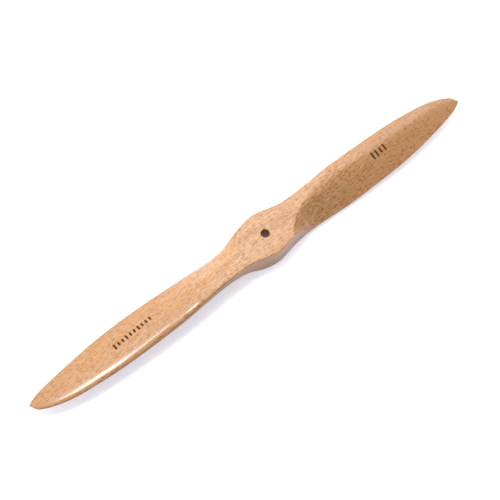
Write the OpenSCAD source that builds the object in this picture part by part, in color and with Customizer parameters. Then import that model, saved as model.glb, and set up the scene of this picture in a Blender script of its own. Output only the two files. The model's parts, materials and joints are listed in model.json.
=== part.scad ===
// Two-blade wooden propeller, modelled as a blank of six glued beech boards.
// Origin on the shaft axis at the rear face, +Z out of the front face,
// +X along one blade, +Y towards that blade's leading edge.

/* [Propeller] */
// Tip to tip diameter, 19 inches
diameter = 482.6; // [476:0.2:488]
// Advance in one turn, 8 inches
pitch = 203.2; // [190:0.2:215]

/* [Hub] */
// Thickness of the glued blank and of the hub
hub_thickness = 24; // [22:0.5:26]
// Diameter of the shaft bore
bore_d = 8; // [6:0.5:12]
// Half the width of the hub across the blades
hub_half_width = 21.2; // [20.2:0.5:23.2]
// Distance from the axis where the carving of the blades starts
carve_start = 16; // [14:0.5:18]
// Rounding of the sanded edges of the hub
edge_round = 0.7; // [0.5:0.1:1.5]

/* [Blade] */
// Height of the trailing edge along the blade
trailing_height = 1.2; // [1:0.1:1.6]
// Thickness of the blade at three quarters of the radius
outer_thickness = 4.6; // [4:0.1:5.5]

/* [Ink marks] */
// Distance from the axis to the middle of the long mark, on the left blade
long_radius = 142; // [138:1:144]
// Distance from the axis to the middle of the short mark, on the right blade
short_radius = 139; // [132:1:150]
// Thickness of the ink film
ink = 0.1; // [0.08:0.01:0.2]

/* [Hidden] */
$fn = 64;

boards = 6;
board_t = hub_thickness / boards;
tip = diameter / 2;
past = 1;
beech = [0.80, 0.62, 0.44];
beech_dark = beech * 0.97;
dark_ink = [0.16, 0.10, 0.07];

// ---- Smooth curves through points [distance from the axis, value] ----

function secant(p, i) = (p[i + 1][1] - p[i][1]) / (p[i + 1][0] - p[i][0]);

// Slope at a point, as of a parabola through it and its two neighbours
function flowing(p, i) =
    let (before = p[i][0] - p[i - 1][0], after = p[i + 1][0] - p[i][0])
    (secant(p, i - 1) * after + secant(p, i) * before) / (before + after);

// Slope at a point that keeps the curve from overshooting its points
function steady(p, i) =
    let (before = secant(p, i - 1), after = secant(p, i))
    before * after <= 0 ? 0 : 2 * before * after / (before + after);

function slope(p, i, flow) =
    i == 0 ? (flow ? 0 : secant(p, 0)) :
    i == len(p) - 1 ? secant(p, i - 1) :
    flow ? flowing(p, i) : steady(p, i);

function span_of(p, x, i = 0) = (i < len(p) - 2 && x > p[i + 1][0]) ? span_of(p, x, i + 1) : i;

function curve(p, x, flow = false) =
    let (i = span_of(p, x), h = p[i + 1][0] - p[i][0], t = (x - p[i][0]) / h)
    p[i][1] * (2 * t^3 - 3 * t^2 + 1) + p[i + 1][1] * (3 * t^2 - 2 * t^3)
    + h * slope(p, i, flow) * (t^3 - 2 * t^2 + t) + h * slope(p, i + 1, flow) * (t^3 - t^2);

// ---- Outline of the blade, seen from the front ----

leading = [
    [0, hub_half_width], [10, hub_half_width - 1.2], [20, 17], [30, 15], [45, 14.5], [60, 15],
    [80, 16.5], [100, 17.5], [130, 17.5], [150, 17], [170, 16], [190, 14], [210, 11], [225, 6.5],
    [233, 2.8], [tip - 2.3, -2.2], [tip, -7]
];
trailing = [
    [0, -hub_half_width], [10, 1.3 - hub_half_width], [20, -18], [30, -17], [45, -17.5], [60, -18.5],
    [80, -20], [100, -21], [125, -21.5], [150, -21.5], [170, -20.5], [190, -18.5], [210, -16],
    [225, -13.5], [235, -11], [tip, -8]
];

// ---- Heights ----

// Rear face along the trailing edge
rear_low = [[0, 0], [25, 0], [50, 3.5], [80, 3.5], [120, 6], [170, 8.5], [210, 10.5], [tip, 13]];
// Height of the blunt leading edge
nose = [
    [0, hub_thickness], [carve_start, hub_thickness], [30, 17], [50, 10], [80, 6.5], [120, 4.5],
    [170, 3.5], [220, 2], [tip, 0.8]
];
// How far its rounding reaches along the front
nose_front = [[0, edge_round], [60, 3], [90, 5.5], [130, 10], [180, 10], [tip, 3]];
// Height of the trailing edge
tail = [
    [0, hub_thickness], [carve_start + 2, hub_thickness], [27, 18], [34, 11.5], [40, 6], [50, 1.8],
    [70, 1.5], [100, trailing_height], [tip, 0.8]
];
// Height of the front ridge above the rear face, cut off at the hub's front plane
depth = [
    [0, hub_thickness * 2], [30, hub_thickness], [60, 14.5], [80, 11.2], [100, 8.8], [120, 7.4],
    [150, 5.8], [tip * 0.75, outer_thickness], [210, 3.4], [230, 2.2], [tip, 1]
];

// ---- Places across the blade, as shares of its width ----

// Ridge of the front face, from the leading edge
ridge = [[0, 0.35], [carve_start, 0.9], [25, 0.78], [35, 0.58], [46, 0.44], [80, 0.4], [tip, 0.38]];
// Shoulder between the ridge and the trailing edge, from the leading edge
shoulder = [
    [0, 0.65], [carve_start, 0.95], [25, 0.83], [36, 0.9], [48, 0.94], [70, 0.75], [tip, 0.7]
];
// How far the shoulder stands proud of a straight line
bulge = [[0, 0], [24, 0], [30, 0.4], [36, 1.8], [42, 1.2], [50, 0.3], [80, 0.3], [tip, 0]];
// Share of the way to the leading edge that the rounding of the ridge may take
ridge_front = [[0, 0.45], [80, 0.45], [130, 0.26], [tip, 0.26]];
// How much the rear face has left the rear plane
rear_lift = [[0, 0], [30, 0], [56, 1], [tip, 1]];

function unit(v) = v / max(norm(v), 0.001);

// Most of the way to the next corner that a rounding takes, where nothing else is said
near_half = 0.48;

// Rounded corner at c between a and b, cut back by up to da and db, and by no more than the
// shares most_a and most_b of the way
function rounded(a, c, b, da, db, n, most_a = near_half, most_b = near_half) =
    let (
        p = c + unit(a - c) * min(da, norm(a - c) * most_a),
        q = c + unit(b - c) * min(db, norm(b - c) * most_b)
    )
    [for (k = [0 : n - 1]) let (t = k / (n - 1)) p * (1 - t)^2 + c * 2 * t * (1 - t) + q * t^2];

end_points = 4;
nose_points = 5;
ridge_points = 5;
knee_points = 3;

// The crisp root goes over into the soft outer blade between these distances from the axis
soft_from = 40;
soft_to = 100;
// Reach of the roundings at the root, and what the outer blade adds to it
root_reach = 2;
knee_reach = 4;
nose_added = 2.4;
ridge_added = 12;
shoulder_added = 8;
// Most of the way to the next corner that these roundings may take
nose_most = 0.7;
nose_front_most = 0.72;
nose_rear_most = 0.25;
ridge_rear_most = 0.6;
shoulder_most = 0.38;
tail_most = 0.45;

// Section of the blade at x, as points [y, z] from the rear of the trailing edge round the nose
function section(x) =
    let (
        lead = curve(leading, x, true),
        trail = curve(trailing, x, true),
        width = lead - trail,
        rear_trail = curve(rear_low, x),
        nose_h = curve(nose, x),
        rear_lead = min(hub_thickness - nose_h, rear_trail + width * pitch / (2 * PI * max(x, 1))),
        ridge_share = curve(ridge, x),
        shoulder_share = curve(shoulder, x),
        ridge_rear = rear_lead + (rear_trail - rear_lead) * ridge_share,
        front_trail = rear_trail + min(curve(tail, x), hub_thickness - rear_trail),
        ridge_z = min(hub_thickness, ridge_rear + curve(depth, x)),
        soft = min(max((x - soft_from) / (soft_to - soft_from), 0), 1),
        a = [trail, rear_trail],
        b = [trail + width * ridge_share,
             curve(rear_lift, x) * (rear_trail + (rear_lead - rear_trail) * ridge_share)],
        c = [lead, rear_lead],
        d = [lead, rear_lead + nose_h],
        e = [lead - width * ridge_share, ridge_z],
        f = [trail, front_trail],
        along = (shoulder_share - ridge_share) / (1 - ridge_share),
        s = e + (f - e) * along + [0, curve(bulge, x)],
        nose_top = edge_round + nose_added * soft,
        nose_rear = min(edge_round, nose_h * nose_rear_most),
        ridge_reach = root_reach + ridge_added * soft,
        shoulder_reach = root_reach + shoulder_added * soft,
        tail_round = min(edge_round, (front_trail - rear_trail) * tail_most)
    )
    concat(
        rounded(f, a, b, tail_round, tail_round, end_points),
        rounded(a, b, c, knee_reach, knee_reach, knee_points),
        rounded(b, c, d, nose_rear * 2, nose_rear, end_points),
        rounded(c, d, e, nose_top, curve(nose_front, x), nose_points, nose_most, nose_front_most),
        rounded(d, e, s, ridge_reach, ridge_reach, ridge_points, curve(ridge_front, x),
            ridge_rear_most),
        rounded(e, s, f, shoulder_reach, shoulder_reach, ridge_points, shoulder_most),
        rounded(s, f, a, tail_round * 2, tail_round, nose_points)
    );

// ---- Rings of points along the propeller ----

// Close together at the hub and towards the rounded tip
outer_start = 202;
outer_steps = 8;
stations = concat(
    [for (x = [0 : 4 : 56]) x],
    [for (x = [64 : 10 : 194]) x],
    [for (k = [0 : outer_steps]) outer_start + (tip - outer_start) * sin(90 * k / outer_steps)]
);

function reversed(v) = [for (k = [len(v) - 1 : -1 : 0]) v[k]];

right_rings = [for (x = stations) [for (p = section(x)) [x, p[0], p[1]]]];

// The other blade is this one turned half a turn about the shaft, listed so that point k of a
// ring lies on the same side of the hub as point k of the right-hand rings
shift = nose_points * 2 + ridge_points * 2;
function turned(ring) =
    let (back = reversed([for (p = ring) [-p[0], -p[1], p[2]]]), n = len(back))
    [for (k = [0 : n - 1]) back[(k + shift) % n]];
left_rings = [for (k = [len(stations) - 1 : -1 : 1]) turned(right_rings[k])];

rings = concat(left_rings, right_rings);
middle = len(stations) - 1;

// Rings either side of the ink marks, counted from the shaft
inner_ring = 19;
outer_ring = 25;

// Closed solid through the rings from first to last
module stretch(first, last) {
    used = [for (k = [first : last]) rings[k]];
    n = len(used[0]);
    count = len(used);
    polyhedron(
        points = [for (ring = used) each ring],
        faces = concat(
            [[for (j = [0 : n - 1]) j]],
            [for (i = [0 : count - 2]) for (j = [0 : n - 1])
                let (a = i * n + j, b = i * n + (j + 1) % n) each [[a, a + n, b], [b, a + n, b + n]]],
            [[for (j = [n - 1 : -1 : 0]) (count - 1) * n + j]]
        ),
        convexity = 6
    );
}

module blank() {
    stretch(0, len(rings) - 1);
}

// ---- Boards, numbered from the rear face ----

module board(index) {
    below = index == 0 ? past : 0;
    above = index == boards - 1 ? past : 0;
    difference() {
        intersection() {
            blank();
            translate([-diameter, -hub_thickness * 2, index * board_t - below])
                cube([diameter * 2, hub_thickness * 4, board_t + below + above]);
        }
        translate([0, 0, -past])
            cylinder(d = bore_d, h = hub_thickness + 2 * past);
    }
}

module board_1_rear() {
    color(beech) board(0);
}

module board_2() {
    color(beech_dark) board(1);
}

module board_3() {
    color(beech) board(2);
}

module board_4() {
    color(beech_dark) board(3);
}

module board_5() {
    color(beech) board(4);
}

module board_6_front() {
    color(beech_dark) board(5);
}

// ---- Ink marks: rows of plain bars, printed on the front of the blades ----

// Lengths of the bars across the blade
long_bars = [6, 4, 4, 5, 4, 4, 5, 4, 4, 4];
short_bars = [7, 7, 5, 7];
bar_w = 1.8;
mark_tilt = 3;
long_step = 4.1;
long_y = 4;
short_step = 5;
short_y = -0.5;

// Upright bars one step apart, centred on the origin
module bars(lengths, step) {
    for (k = [0 : len(lengths) - 1])
        translate([(k - (len(lengths) - 1) / 2) * step, 0])
            square([bar_w, lengths[k]], center = true);
}

// The part of a flat pattern that lies as a film on the front of the blank, between two rings
module film(first, last) {
    difference() {
        intersection() {
            translate([0, 0, ink]) stretch(first, last);
            translate([0, 0, hub_thickness / 2]) linear_extrude(hub_thickness / 2) children();
        }
        stretch(first, last);
    }
}

module ink_mark_left_blade() {
    color(dark_ink)
        film(middle - outer_ring, middle - inner_ring)
            translate([-long_radius, long_y]) rotate(mark_tilt) bars(long_bars, long_step);
}

module ink_mark_right_blade() {
    color(dark_ink)
        film(middle + inner_ring, middle + outer_ring)
            translate([short_radius, short_y]) rotate(mark_tilt) bars(short_bars, short_step);
}

board_1_rear();
board_2();
board_3();
board_4();
board_5();
board_6_front();
ink_mark_left_blade();
ink_mark_right_blade();
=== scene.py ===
import json
import math

import bmesh
import bpy
import numpy as np
from mathutils import Matrix, Vector
from mathutils.bvhtree import BVHTree
from mathutils.interpolate import poly_3d_calc


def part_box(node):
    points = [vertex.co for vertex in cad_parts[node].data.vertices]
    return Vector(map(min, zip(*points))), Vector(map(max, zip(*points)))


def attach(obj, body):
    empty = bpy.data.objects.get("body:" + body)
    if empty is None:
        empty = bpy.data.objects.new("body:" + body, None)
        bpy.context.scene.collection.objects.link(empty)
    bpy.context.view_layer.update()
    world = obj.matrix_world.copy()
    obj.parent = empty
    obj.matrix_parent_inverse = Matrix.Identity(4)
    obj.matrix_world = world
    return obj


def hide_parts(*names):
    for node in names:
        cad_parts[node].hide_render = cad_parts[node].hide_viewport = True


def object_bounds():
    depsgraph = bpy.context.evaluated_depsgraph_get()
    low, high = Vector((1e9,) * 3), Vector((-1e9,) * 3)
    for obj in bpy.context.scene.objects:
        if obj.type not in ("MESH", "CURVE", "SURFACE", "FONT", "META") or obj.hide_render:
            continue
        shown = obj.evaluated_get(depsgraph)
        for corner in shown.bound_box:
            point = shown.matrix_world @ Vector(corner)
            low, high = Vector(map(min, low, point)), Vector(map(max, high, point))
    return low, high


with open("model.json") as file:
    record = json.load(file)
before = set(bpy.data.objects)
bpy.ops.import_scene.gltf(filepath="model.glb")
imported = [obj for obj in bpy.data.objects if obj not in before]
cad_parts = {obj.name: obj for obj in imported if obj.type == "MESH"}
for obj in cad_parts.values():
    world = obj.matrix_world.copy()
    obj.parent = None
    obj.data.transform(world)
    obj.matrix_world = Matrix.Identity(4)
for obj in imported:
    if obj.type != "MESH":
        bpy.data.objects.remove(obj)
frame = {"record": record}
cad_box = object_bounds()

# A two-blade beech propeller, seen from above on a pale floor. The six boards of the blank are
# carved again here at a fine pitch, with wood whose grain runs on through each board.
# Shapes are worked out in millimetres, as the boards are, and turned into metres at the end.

MM = 0.001
TIP = cad_box[1][0] / MM
HUB_T = cad_box[1][2] / MM
BORE_R = next(m for m in frame["record"]["mounts"] if m["name"] == "shaft_bore")["dims"]["r_mm"]
BOARDS = ["board_1_rear", "board_2", "board_3", "board_4", "board_5", "board_6_front"]
BOARD_T = HUB_T / len(BOARDS)
HUB_HALF = 21.2
PITCH = 203.2
CARVE = 16
EDGE_ROUND = 0.7
SOFT_FROM, SOFT_TO = 40, 100
CAMERA_MM = 50


# ---- Curves along the blade, through points [distance from the shaft, value] ----

def curve(points, x, flow=False):
    """Value at each x of a smooth curve. A flowing curve has its ends level and may swing past a
    point, and a steady one never does."""
    at, value = np.array(points, float).T
    gap = np.diff(at)
    secant = np.diff(value) / gap
    before, after = secant[:-1], secant[1:]
    if flow:
        inner = (before * gap[1:] + after * gap[:-1]) / (gap[1:] + gap[:-1])
    else:
        same = before * after > 0
        inner = np.where(same, 2 * before * after / np.where(same, before + after, 1), 0)
    slope = np.concatenate([[0 if flow else secant[0]], inner, [secant[-1]]])
    i = np.clip(np.searchsorted(at, x) - 1, 0, len(gap) - 1)
    t = (x - at[i]) / gap[i]
    return (
        value[i] * (2 * t**3 - 3 * t**2 + 1)
        + value[i + 1] * (3 * t**2 - 2 * t**3)
        + gap[i] * slope[i] * (t**3 - 2 * t**2 + t)
        + gap[i] * slope[i + 1] * (t**3 - t**2)
    )


LEADING = [
    [0, HUB_HALF], [10, HUB_HALF - 1.2], [20, 17], [30, 15], [45, 14.5], [60, 15], [80, 16.5],
    [100, 17.5], [130, 17.5], [150, 17], [170, 16], [190, 14], [210, 11], [225, 6.5], [233, 2.8],
    [TIP - 2.3, -2.2], [TIP, -7],
]
TRAILING = [
    [0, -HUB_HALF], [10, 1.3 - HUB_HALF], [20, -18], [30, -17], [45, -17.5], [60, -18.5],
    [80, -20], [100, -21], [125, -21.5], [150, -21.5], [170, -20.5], [190, -18.5], [210, -16],
    [225, -13.5], [235, -11], [TIP, -8],
]
REAR_LOW = [
    [0, 0], [25, 0], [50, 3.5], [80, 3.5], [120, 6], [170, 8.5], [210, 10.5], [TIP, 13],
]
NOSE = [
    [0, HUB_T], [CARVE, HUB_T], [30, 17], [50, 10], [80, 6.5], [120, 4.5], [170, 3.5], [220, 2],
    [TIP, 0.8],
]
NOSE_FRONT = [[0, EDGE_ROUND], [60, 3], [90, 5.5], [130, 10], [180, 10], [TIP, 3]]
TAIL = [
    [0, HUB_T], [CARVE + 2, HUB_T], [27, 18], [34, 11.5], [40, 6], [50, 1.8], [70, 1.5],
    [100, 1.2], [TIP, 0.8],
]
DEPTH = [
    [0, HUB_T * 2], [30, HUB_T], [60, 14.5], [80, 11.2], [100, 8.8], [120, 7.4], [150, 5.8],
    [TIP * 0.75, 4.6], [210, 3.4], [230, 2.2], [TIP, 1],
]
RIDGE = [[0, 0.35], [CARVE, 0.9], [25, 0.78], [35, 0.58], [46, 0.44], [80, 0.4], [TIP, 0.38]]
SHOULDER = [
    [0, 0.65], [CARVE, 0.95], [25, 0.83], [36, 0.9], [48, 0.94], [70, 0.75], [TIP, 0.7],
]
BULGE = [[0, 0], [24, 0], [30, 0.4], [36, 1.8], [42, 1.2], [50, 0.3], [80, 0.3], [TIP, 0]]
RIDGE_FRONT = [[0, 0.45], [80, 0.45], [130, 0.26], [TIP, 0.26]]
REAR_LIFT = [[0, 0], [30, 0], [56, 1], [TIP, 1]]


# ---- The carved surface ----

# Points round one section: seven rounded corners, and what lies between each and the next
ARC_POINTS = [8, 7, 8, 10, 12, 12, 10]
RUN_POINTS = [5, 5, 3, 6, 6, 6, 3]
# Reach of the roundings at the root, and what the soft outer blade adds to it
ROOT_REACH, KNEE_REACH = 2, 4
NOSE_ADDED, RIDGE_ADDED, SHOULDER_ADDED = 2.4, 12, 8
# Most of the way to the next corner that a rounding may take
NEAR_HALF = 0.48
NOSE_REAR_MOST, TAIL_MOST = 0.25, 0.45
NOSE_MOST, RIDGE_REAR_MOST, SHOULDER_MOST = (0.7, 0.72), 0.6, 0.38


def rounded(a, c, b, da, db, count, most):
    """Points of a round corner at c, cut back by up to da towards a and db towards b, and by no
    more than the shares most of the way."""
    def cut(towards, by, share):
        step = towards - c
        length = np.linalg.norm(step, axis=1)
        return c + step * (np.minimum(by, length * share) / np.maximum(length, 1e-3))[:, None]

    p, q = cut(a, da, most[0]), cut(b, db, most[1])
    t = np.linspace(0, 1, count)[:, None, None]
    return p * (1 - t) ** 2 + c * 2 * t * (1 - t) + q * t**2


def sections(x):
    """Rings of points [y, z], one for each x, from the rear of the trailing edge round the nose."""
    lead, trail = curve(LEADING, x, flow=True), curve(TRAILING, x, flow=True)
    width = lead - trail
    low, nose = curve(REAR_LOW, x), curve(NOSE, x)
    twist = width * PITCH / (2 * math.pi * np.maximum(x, 1))
    rear_lead = np.minimum(HUB_T - nose, low + twist)
    ridge, shoulder = curve(RIDGE, x), curve(SHOULDER, x)
    rise = rear_lead - low
    front_trail = low + np.minimum(curve(TAIL, x), HUB_T - low)
    ridge_z = np.minimum(HUB_T, rear_lead - rise * ridge + curve(DEPTH, x))
    soft = np.clip((x - SOFT_FROM) / (SOFT_TO - SOFT_FROM), 0, 1)

    def corner(y, z):
        return np.stack([y, z], axis=1)

    a = corner(trail, low)
    b = corner(trail + width * ridge, curve(REAR_LIFT, x) * (low + rise * ridge))
    c = corner(lead, rear_lead)
    d = corner(lead, rear_lead + nose)
    e = corner(lead - width * ridge, ridge_z)
    f = corner(trail, front_trail)
    s = e + (f - e) * ((shoulder - ridge) / (1 - ridge))[:, None]
    s[:, 1] += curve(BULGE, x)
    nose_top = EDGE_ROUND + NOSE_ADDED * soft
    nose_rear = np.minimum(EDGE_ROUND, nose * NOSE_REAR_MOST)
    ridge_reach = ROOT_REACH + RIDGE_ADDED * soft
    shoulder_reach = ROOT_REACH + SHOULDER_ADDED * soft
    tail_round = np.minimum(EDGE_ROUND, (front_trail - low) * TAIL_MOST)
    corners = [
        (f, a, b, tail_round, tail_round),
        (a, b, c, KNEE_REACH, KNEE_REACH),
        (b, c, d, nose_rear * 2, nose_rear),
        (c, d, e, nose_top, curve(NOSE_FRONT, x)),
        (d, e, s, ridge_reach, ridge_reach),
        (e, s, f, shoulder_reach, shoulder_reach),
        (s, f, a, tail_round * 2, tail_round),
    ]
    half = (NEAR_HALF, NEAR_HALF)
    ridge_most = (curve(RIDGE_FRONT, x), RIDGE_REAR_MOST)
    most = [half, half, half, NOSE_MOST, ridge_most, (SHOULDER_MOST, NEAR_HALF), half]
    arcs = [rounded(*corner, *more) for corner, more in zip(corners, zip(ARC_POINTS, most))]
    ring = []
    for k, count in enumerate(RUN_POINTS):
        t = (np.arange(1, count + 1) / (count + 1))[:, None, None]
        following = arcs[(k + 1) % len(arcs)][0]
        ring += [arcs[k], arcs[k][-1] * (1 - t) + following * t]
    return np.concatenate(ring).transpose(1, 0, 2)


def skin():
    """The whole blank's surface without its bore: corners, smooth normals and faces."""
    near_tip = 200
    x = np.concatenate([
        np.arange(0, 60, 1.25),
        np.arange(60, near_tip, 2.5),
        near_tip + (TIP - near_tip) * np.sin(np.linspace(0, math.pi / 2, 30)),
    ])
    flat = sections(x)
    right = np.dstack([np.repeat(x[:, None], flat.shape[1], axis=1), flat])
    # The other blade is this one turned half a turn, listed so that its rings meet these
    to_nose = sum(ARC_POINTS[:3]) + sum(RUN_POINTS[:2])
    left = np.roll((right * [-1, -1, 1])[:0:-1, ::-1], to_nose, axis=1)
    rings = np.concatenate([left, right])
    count, n = rings.shape[:2]
    index = np.arange(count * n).reshape(count, n)
    after = np.roll(index, -1, axis=1)
    quads = np.stack([index[:-1], after[:-1], after[1:], index[1:]], axis=2).reshape(-1, 4)
    points = rings.reshape(-1, 3)
    # A normal is the mean over the faces round a corner, larger faces counting for more
    a, b, c, d = (points[quads[:, k]] for k in range(4))
    face_normals = np.cross(c - a, d - b)
    normals = np.zeros_like(points)
    for k in range(4):
        np.add.at(normals, quads[:, k], face_normals)
    normals /= np.linalg.norm(normals, axis=1)[:, None]
    faces = quads.tolist() + [index[0, ::-1].tolist(), index[-1].tolist()]
    return points, normals, faces


# ---- Boards ----

SKIN, BORE, JOINT = range(3)
BORE_SIDES = 96
BORE_BEVEL = 0.3


def lathe(profile, sides):
    """A closed bmesh, turned about the Z axis from points (radius, height) listed upwards."""
    bm = bmesh.new()
    angles = [2 * math.pi * k / sides for k in range(sides)]
    rings = [[bm.verts.new((r * math.cos(t), r * math.sin(t), z)) for t in angles] for r, z in profile]
    for low, high in zip(rings, rings[1:]):
        for k in range(sides):
            bm.faces.new((low[k - 1], low[k], high[k], high[k - 1]))
    bm.faces.new(rings[0][::-1])
    bm.faces.new(rings[-1])
    return bm


def to_object(name, bm):
    mesh = bpy.data.meshes.new(name)
    bm.to_mesh(mesh)
    bm.free()
    piece = bpy.data.objects.new(name, mesh)
    bpy.context.scene.collection.objects.link(piece)
    return piece


def drilled_blank(points, faces):
    """The whole blank with its bore, whose faces carry the material number BORE."""
    bm = bmesh.new()
    corners = [bm.verts.new(p) for p in points]
    for face in faces:
        bm.faces.new([corners[k] for k in face])
    blank = to_object("blank", bm)
    wide = BORE_R + BORE_BEVEL
    drill = lathe(
        [(wide + 1, -1), (BORE_R, BORE_BEVEL), (BORE_R, HUB_T - BORE_BEVEL), (wide + 1, HUB_T + 1)],
        BORE_SIDES,
    )
    # Turned by half a facet, so that none of its edges lies in the section at x = 0
    half_facet = Matrix.Rotation(math.pi / BORE_SIDES, 3, "Z")
    bmesh.ops.rotate(drill, cent=(0, 0, 0), matrix=half_facet, verts=drill.verts[:])
    for face in drill.faces:
        face.material_index = BORE
    drill = to_object("drill", drill)
    for made in (blank, drill):
        for number in (SKIN, BORE):
            made.data.materials.append(None)
    cut = blank.modifiers.new("bore", "BOOLEAN")
    cut.operation = "DIFFERENCE"
    cut.solver = "EXACT"
    cut.material_mode = "INDEX"
    cut.object = drill
    whole = bpy.data.meshes.new_from_object(blank.evaluated_get(bpy.context.evaluated_depsgraph_get()))
    for made in (blank, drill):
        bpy.data.objects.remove(made)
    return whole


def cut_board(whole, index):
    """The slab of the blank that is board number index, closed along its glue lines."""
    bm = bmesh.new()
    bm.from_mesh(whole)
    for height, is_top in ((index * BOARD_T, False), ((index + 1) * BOARD_T, True)):
        if not 0 < height < HUB_T:
            continue
        made = bmesh.ops.bisect_plane(
            bm, geom=bm.verts[:] + bm.edges[:] + bm.faces[:], dist=1e-4, plane_co=(0, 0, height),
            plane_no=(0, 0, 1), clear_outer=is_top, clear_inner=not is_top,
        )
        rim = [e for e in made["geom_cut"] if isinstance(e, bmesh.types.BMEdge)]
        filled = bmesh.ops.triangle_fill(bm, edges=rim, use_beauty=True)
        for face in filled["geom"]:
            if isinstance(face, bmesh.types.BMFace):
                face.material_index = JOINT
    bmesh.ops.recalc_face_normals(bm, faces=bm.faces[:])
    return bm


def shade_as_one(mesh, points, normals, faces):
    """Gives a board's skin the normals of the uncut blank, so that its seams don't show."""
    tree = BVHTree.FromPolygons(points.tolist(), faces)
    cache = {}

    def skin_normal(vertex):
        if vertex not in cache:
            at, _, face, _ = tree.find_nearest(mesh.vertices[vertex].co)
            corners = faces[face]
            weights = poly_3d_calc([Vector(points[k]) for k in corners], at)
            cache[vertex] = sum((Vector(normals[k]) * w for k, w in zip(corners, weights)), Vector())
        return cache[vertex]

    split = [None] * len(mesh.loops)
    for face in mesh.polygons:
        face.use_smooth = True
        for loop in face.loop_indices:
            vertex = mesh.loops[loop].vertex_index
            here = mesh.vertices[vertex].co
            if face.material_index == SKIN:
                split[loop] = skin_normal(vertex).normalized()
            elif face.material_index == BORE and abs(face.normal.z) < 0.1:
                split[loop] = Vector((-here.x, -here.y, 0)).normalized()
            else:
                split[loop] = face.normal
    mesh.normals_split_custom_set(split)


def make_boards(materials):
    points, normals, faces = skin()
    whole = drilled_blank(points, faces)
    for index, node in enumerate(BOARDS):
        board = to_object(node + "_carved", cut_board(whole, index))
        shade_as_one(board.data, points, normals, faces)
        board.data.transform(Matrix.Scale(MM, 4))
        board.data.materials.clear()
        for material in materials:
            board.data.materials.append(material)
        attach(board, "root")
        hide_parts(node)
    bpy.data.meshes.remove(whole)
    return BVHTree.FromPolygons((points * MM).tolist(), faces)


# ---- Ink marks ----

INK_ABOVE, INK_BELOW = 0.05, 0.02
BAR_W = 1.8
MARK_TILT = 3
LONG_BARS, LONG_STEP = [6, 4, 4, 5, 4, 4, 5, 4, 4, 4], 4.1
SHORT_BARS, SHORT_STEP = [7, 7, 5, 7], 5


def ink_film(name, node, surface, lengths, step, material):
    """A row of bars printed on the front of a blade, each a thin film that follows the wood."""
    low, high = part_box(node)
    middle = (low + high) / 2
    turn = Matrix.Rotation(math.radians(MARK_TILT), 3, "Z")
    bm = bmesh.new()
    across, along = 8, 20
    for number, length in enumerate(lengths):
        start = (number - (len(lengths) - 1) / 2) * step
        layers = []
        for lift in (INK_ABOVE, -INK_BELOW):
            rows = []
            for i in range(across + 1):
                u = 2 * i / across - 1
                row = []
                for j in range(along + 1):
                    v = 2 * j / along - 1
                    # Ends and sides draw in at the corners, as ink does
                    side = start + BAR_W / 2 * u * (1 - 0.25 * v**8)
                    end = length / 2 * v * (1 - 0.1 * u**4)
                    flat = Vector((side, end, 0))
                    at = middle + turn @ flat * MM
                    hit, normal, _, _ = surface.ray_cast((at.x, at.y, 1), (0, 0, -1))
                    row.append(bm.verts.new(hit + normal * lift * MM))
                rows.append(row)
            layers.append(rows)
        top, bottom = layers
        for i in range(across):
            for j in range(along):
                bm.faces.new((top[i][j], top[i + 1][j], top[i + 1][j + 1], top[i][j + 1]))
                bm.faces.new((bottom[i][j], bottom[i][j + 1], bottom[i + 1][j + 1], bottom[i + 1][j]))
        rim = [(i, 0) for i in range(across)] + [(across, j) for j in range(along)]
        rim += [(across - i, along) for i in range(across)] + [(0, along - j) for j in range(along)]
        for (i, j), (k, m) in zip(rim, rim[1:] + rim[:1]):
            bm.faces.new((top[i][j], bottom[i][j], bottom[k][m], top[k][m]))
    for face in bm.faces:
        face.smooth = True
    film = to_object(name, bm)
    film.data.materials.append(material)
    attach(film, "root")
    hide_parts(node)


# ---- Materials ----

class Nodes:
    """Short calls that add nodes to a tree. Values may be numbers, tuples or other nodes' sockets."""

    def __init__(self, tree):
        self.tree = tree

    def node(self, kind, inputs=(), **settings):
        made = self.tree.nodes.new(kind)
        for name, value in settings.items():
            setattr(made, name, value)
        for key, value in dict(inputs).items():
            self.feed(made.inputs[key], value)
        return made

    def feed(self, socket, value):
        if isinstance(value, bpy.types.NodeSocket):
            self.tree.links.new(value, socket)
        else:
            socket.default_value = value

    def math(self, operation, a, b=0.0):
        made = self.node("ShaderNodeMath", {0: a, 1: b}, operation=operation)
        return made.outputs[0]

    def ease(self, value, low, high):
        """0 below low, 1 above high, smooth between them. Low may be the larger."""
        made = self.node("ShaderNodeMapRange", {"Value": value}, interpolation_type="SMOOTHSTEP")
        made.inputs["From Min"].default_value = min(low, high)
        made.inputs["From Max"].default_value = max(low, high)
        made.inputs["To Min"].default_value = float(low > high)
        made.inputs["To Max"].default_value = float(low < high)
        return made.outputs["Result"]

    def scaled(self, vector, scale):
        made = self.node("ShaderNodeVectorMath", {0: vector, 1: scale}, operation="MULTIPLY")
        return made.outputs[0]

    def added(self, a, b):
        return self.node("ShaderNodeVectorMath", {0: a, 1: b}, operation="ADD").outputs[0]

    def split(self, vector):
        return self.node("ShaderNodeSeparateXYZ", {0: vector}).outputs

    def joined(self, x, y, z):
        return self.node("ShaderNodeCombineXYZ", {0: x, 1: y, 2: z}).outputs[0]

    def noise(self, vector, detail=2.0):
        made = self.node("ShaderNodeTexNoise", {"Vector": vector, "Scale": 1.0, "Detail": detail})
        return made.outputs["Fac"]

    def mix(self, amount, a, b, blend="MIX"):
        made = self.node("ShaderNodeMix", data_type="RGBA", blend_type=blend)
        for socket, value in ((made.inputs["Factor"], amount), (made.inputs[6], a), (made.inputs[7], b)):
            self.feed(socket, (*value, 1) if isinstance(value, tuple) else value)
        return made.outputs[2]

    def bump(self, height, distance, strength=1.0):
        made = self.node("ShaderNodeBump", {"Height": height, "Strength": strength, "Distance": distance})
        return made.outputs[0]


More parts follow.
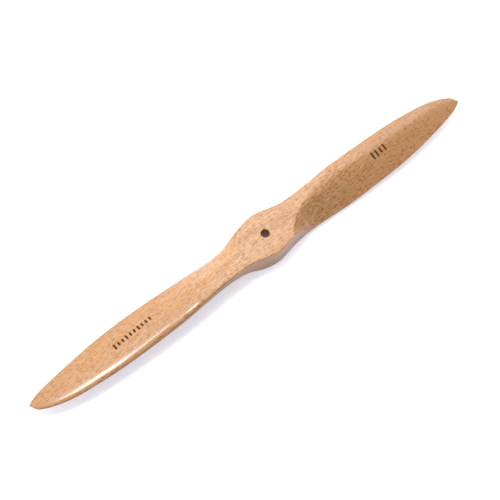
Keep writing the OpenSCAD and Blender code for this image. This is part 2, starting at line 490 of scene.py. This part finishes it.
class Look(Nodes):
    """One material, whose place is the point in the object, in millimetres."""

    def __init__(self, name):
        self.material = bpy.data.materials.new(name)
        self.material.use_nodes = True
        super().__init__(self.material.node_tree)
        metres = self.node("ShaderNodeTexCoord").outputs["Object"]
        self.place = self.scaled(metres, (1 / MM,) * 3)

    def set(self, **sockets):
        shader = self.tree.nodes["Principled BSDF"]
        for name, value in sockets.items():
            self.feed(shader.inputs[name.replace("_", " ")], value)


def flecks(look, place, size, kept):
    """1 inside the ends of the rays, short spindles along the grain, and 0 between them.
    Size is the room for one along x, y and z, and kept is the share of them that there is."""
    cells = look.node("ShaderNodeTexVoronoi", {
        "Vector": look.scaled(place, tuple(1 / s for s in size)), "Scale": 1.0,
    })
    there = look.math("LESS_THAN", look.split(cells.outputs["Color"])[0], kept)
    return look.math("MULTIPLY", look.ease(cells.outputs["Distance"], 0.42, 0.2), there)


def grain(look):
    """Place in the wood of a board: each board is another piece of timber, and the grain wanders."""
    x, y, z = look.split(look.place)
    board = look.math("FLOOR", look.math("DIVIDE", z, BOARD_T))
    wander = look.noise(look.scaled(look.place, (1 / 90, 1 / 30, 1 / 30)))
    x = look.math("ADD", x, look.math("MULTIPLY", board, 61.0))
    y = look.math("ADD", y, look.math("MULTIPLY", wander, 5.0))
    return look.joined(x, y, z)


def beech():
    look = Look("lacquered_beech")
    place = grain(look)
    y, z = look.split(place)[1:]
    rightwards = look.split(look.place)[0]
    outwards = look.math("ABSOLUTE", rightwards)

    def tint(mask, share, colour, towards):
        return look.mix(look.math("MULTIPLY", mask, share), colour, towards)

    def kept(mask, least):
        """The mask, raised so that it is never less than least."""
        return look.math("ADD", least, look.math("MULTIPLY", mask, 1 - least))

    # Yearly rings about a pith that lies well below the boards
    pith_y, pith_z, ring = 5.0, -150.0, 1.4
    across = look.math("SUBTRACT", y, pith_y)
    up = look.math("SUBTRACT", z, pith_z)
    squares = look.math("ADD", look.math("POWER", across, 2.0), look.math("POWER", up, 2.0))
    uneven = look.noise(look.scaled(place, (1 / 60, 1 / 14, 1 / 14)))
    radius = look.math("ADD", look.math("SQRT", squares), look.math("MULTIPLY", uneven, 2.0))
    year = look.math("FRACT", look.math("DIVIDE", radius, ring))
    late = look.math("MULTIPLY", look.ease(year, 0.35, 0.95), look.ease(year, 1.0, 0.95))
    fibre = look.noise(look.scaled(place, (1 / 7, 1 / 0.5, 1 / 0.5)), detail=4.0)
    streak = look.noise(look.scaled(place, (1 / 7, 1 / 0.8, 1 / 0.8)))
    cloud = look.noise(look.scaled(place, (1 / 26, 1 / 7, 1 / 7)))
    rays = flecks(look, place, (6.0, 0.85, 9.0), 0.6)
    small_rays = flecks(look, look.added(place, (17.0, 5.0, 3.0)), (5.0, 0.7, 5.0), 0.6)
    colour = look.mix(look.ease(cloud, 0.3, 0.7), (0.55, 0.325, 0.158), (0.6, 0.37, 0.193))
    # Darker from the hub out along the left blade, darker still along the right blade, and darker towards
    # both tips
    darker = (0.34, 0.185, 0.085)
    colour = tint(look.ease(rightwards, -30.0, -100.0), 0.5, colour, (0.29, 0.175, 0.09))
    colour = tint(look.ease(rightwards, 60.0, 150.0), 0.36, colour, darker)
    colour = tint(look.ease(outwards, 170.0, 240.0), 0.4, colour, darker)
    colour = tint(look.ease(rightwards, 90.0, 170.0), 0.4, colour, darker)
    colour = tint(late, 0.75, colour, (0.45, 0.215, 0.085))
    colour = tint(look.ease(streak, 0.42, 0.58), 0.85, colour, (0.43, 0.195, 0.07))
    colour = tint(look.ease(fibre, 0.35, 0.7), 0.2, colour, (0.45, 0.21, 0.08))
    # The rays are dark where they end in a face, and faint where they lie along one
    upright = look.split(look.node("ShaderNodeNewGeometry").outputs["Normal"])[2]
    ends = look.ease(look.math("ABSOLUTE", upright), 0.1, 0.7)
    rays = look.math("MULTIPLY", rays, kept(ends, 0.25))
    small_rays = look.math("MULTIPLY", small_rays, kept(ends, 0.4))
    colour = tint(small_rays, 0.9, colour, (0.31, 0.115, 0.02))
    colour = tint(rays, 0.95, colour, (0.26, 0.085, 0.012))
    # Painted shade: faces that turn away from straight up, round the edges and on the sides, are
    # darkened, half as much at the hub as on the blades
    painted_shade_share = look.math("ADD", 0.3, look.math("MULTIPLY", look.ease(outwards, 25.0, 60.0), 0.3))
    edge = look.math("MULTIPLY", look.ease(upright, 0.6, 0.1), painted_shade_share)
    colour = look.mix(edge, colour, (0.2, 0.075, 0.03))
    look.set(
        Base_Color=colour, Roughness=look.math("ADD", 0.36, look.math("MULTIPLY", fibre, 0.12)),
        Specular_IOR_Level=0.15, Coat_Weight=0.6, Coat_Roughness=0.15,
        Normal=look.bump(fibre, 0.00001, 0.5),
    )
    return look.material


def bare_wood(name, colour, roughness):
    """Unlacquered wood, as in the drilled bore and the glued faces."""
    look = Look(name)
    place = grain(look)
    fibre = look.noise(look.scaled(place, (1 / 2, 1 / 0.3, 1 / 0.3)), detail=4.0)
    dark = tuple(c * 0.7 for c in colour)
    look.set(
        Base_Color=look.mix(look.ease(fibre, 0.3, 0.7), dark, colour), Roughness=roughness,
        Normal=look.bump(fibre, 0.00005),
    )
    return look.material


def ink():
    look = Look("printed_ink")
    wear = look.noise(look.scaled(look.place, (1 / 0.8, 1 / 0.5, 1 / 0.5)), detail=5.0)
    look.set(
        Base_Color=look.mix(look.ease(wear, 0.42, 0.75), (0.03, 0.012, 0.005), (0.15, 0.07, 0.035)),
        Roughness=0.6, Specular_IOR_Level=0.1, Normal=look.bump(wear, 0.00001),
    )
    return look.material


def white_floor():
    look = Look("white_sweep")
    speckle = look.noise(look.scaled(look.place, (1 / 40, 1 / 40, 1 / 40)))
    look.set(
        Base_Color=look.mix(speckle, (0.64, 0.64, 0.66), (0.66, 0.66, 0.67)), Roughness=0.9,
        Specular_IOR_Level=0.0, Emission_Color=(0.88, 0.89, 1, 1), Emission_Strength=0.63,
    )
    return look.material


# ---- Studio ----

def make_floor():
    reach = 4
    bm = bmesh.new()
    bmesh.ops.create_grid(bm, x_segments=8, y_segments=8, size=reach)
    floor = to_object("floor", bm)
    floor.location.z = -0.0002
    floor.data.materials.append(white_floor())


def softbox(name, towards, distance, size, watts):
    """A rectangular area light, out from the hub in the direction towards, facing the hub."""
    data = bpy.data.lights.new(name, "AREA")
    data.shape = "RECTANGLE"
    data.size, data.size_y = size
    data.energy = watts
    light = bpy.data.objects.new(name, data)
    bpy.context.scene.collection.objects.link(light)
    light.location = Vector(towards).normalized() * distance
    light.rotation_euler = light.location.to_track_quat("Z", "Y").to_euler()


def make_studio():
    """A room that is bright beyond the propeller, most of all high up, and dim on the near side."""
    scene = bpy.context.scene
    scene.view_settings.view_transform = "Standard"
    scene.world = bpy.data.worlds.new("studio")
    scene.world.use_nodes = True
    sky = Nodes(scene.world.node_tree)
    x, y, z = sky.split(sky.node("ShaderNodeTexCoord").outputs["Generated"])
    high = sky.math("MULTIPLY", sky.ease(z, 0.5, 0.85), sky.ease(x, -0.45, 0.3))
    level = sky.math("ADD", 1.4, sky.math("MULTIPLY", high, 2.8))
    bright = sky.math("MULTIPLY", level, sky.ease(y, -0.3, 0.32))
    background = sky.tree.nodes["Background"].inputs
    sky.feed(background["Color"], (0.97, 0.98, 1, 1))
    sky.feed(background["Strength"], sky.math("ADD", 0.15, bright))
    softbox("key", (-0.17, 0.26, 1.0), 2.0, (0.26, 0.32), 12.8)


def make_camera():
    """Looks down steeply over the left blade, as the propeller was first seen."""
    looks_down, heading = 65.46, 50.23
    data = bpy.data.cameras.new("camera")
    data.lens = CAMERA_MM
    data.sensor_width = 36
    camera = bpy.data.objects.new("camera", data)
    bpy.context.scene.collection.objects.link(camera)
    camera.location = (-0.1805, -0.1960, 0.5715)
    camera.rotation_euler = (math.radians(90 - looks_down), 0, math.radians(heading - 90))
    bpy.context.scene.camera = camera


make_camera()
make_floor()
make_studio()
surface = make_boards([
    beech(),
    # The bore's very dark colour is unlacquered end grain, with painted shade of the hole added to it
    bare_wood("drilled_beech_painted_shade", (0.15, 0.06, 0.027), 0.9),
    bare_wood("glued_beech", (0.62, 0.42, 0.26), 0.6),
])
ink_material = ink()
ink_film("long_mark", "ink_mark_left_blade", surface, LONG_BARS, LONG_STEP, ink_material)
ink_film("short_mark", "ink_mark_right_blade", surface, SHORT_BARS, SHORT_STEP, ink_material)
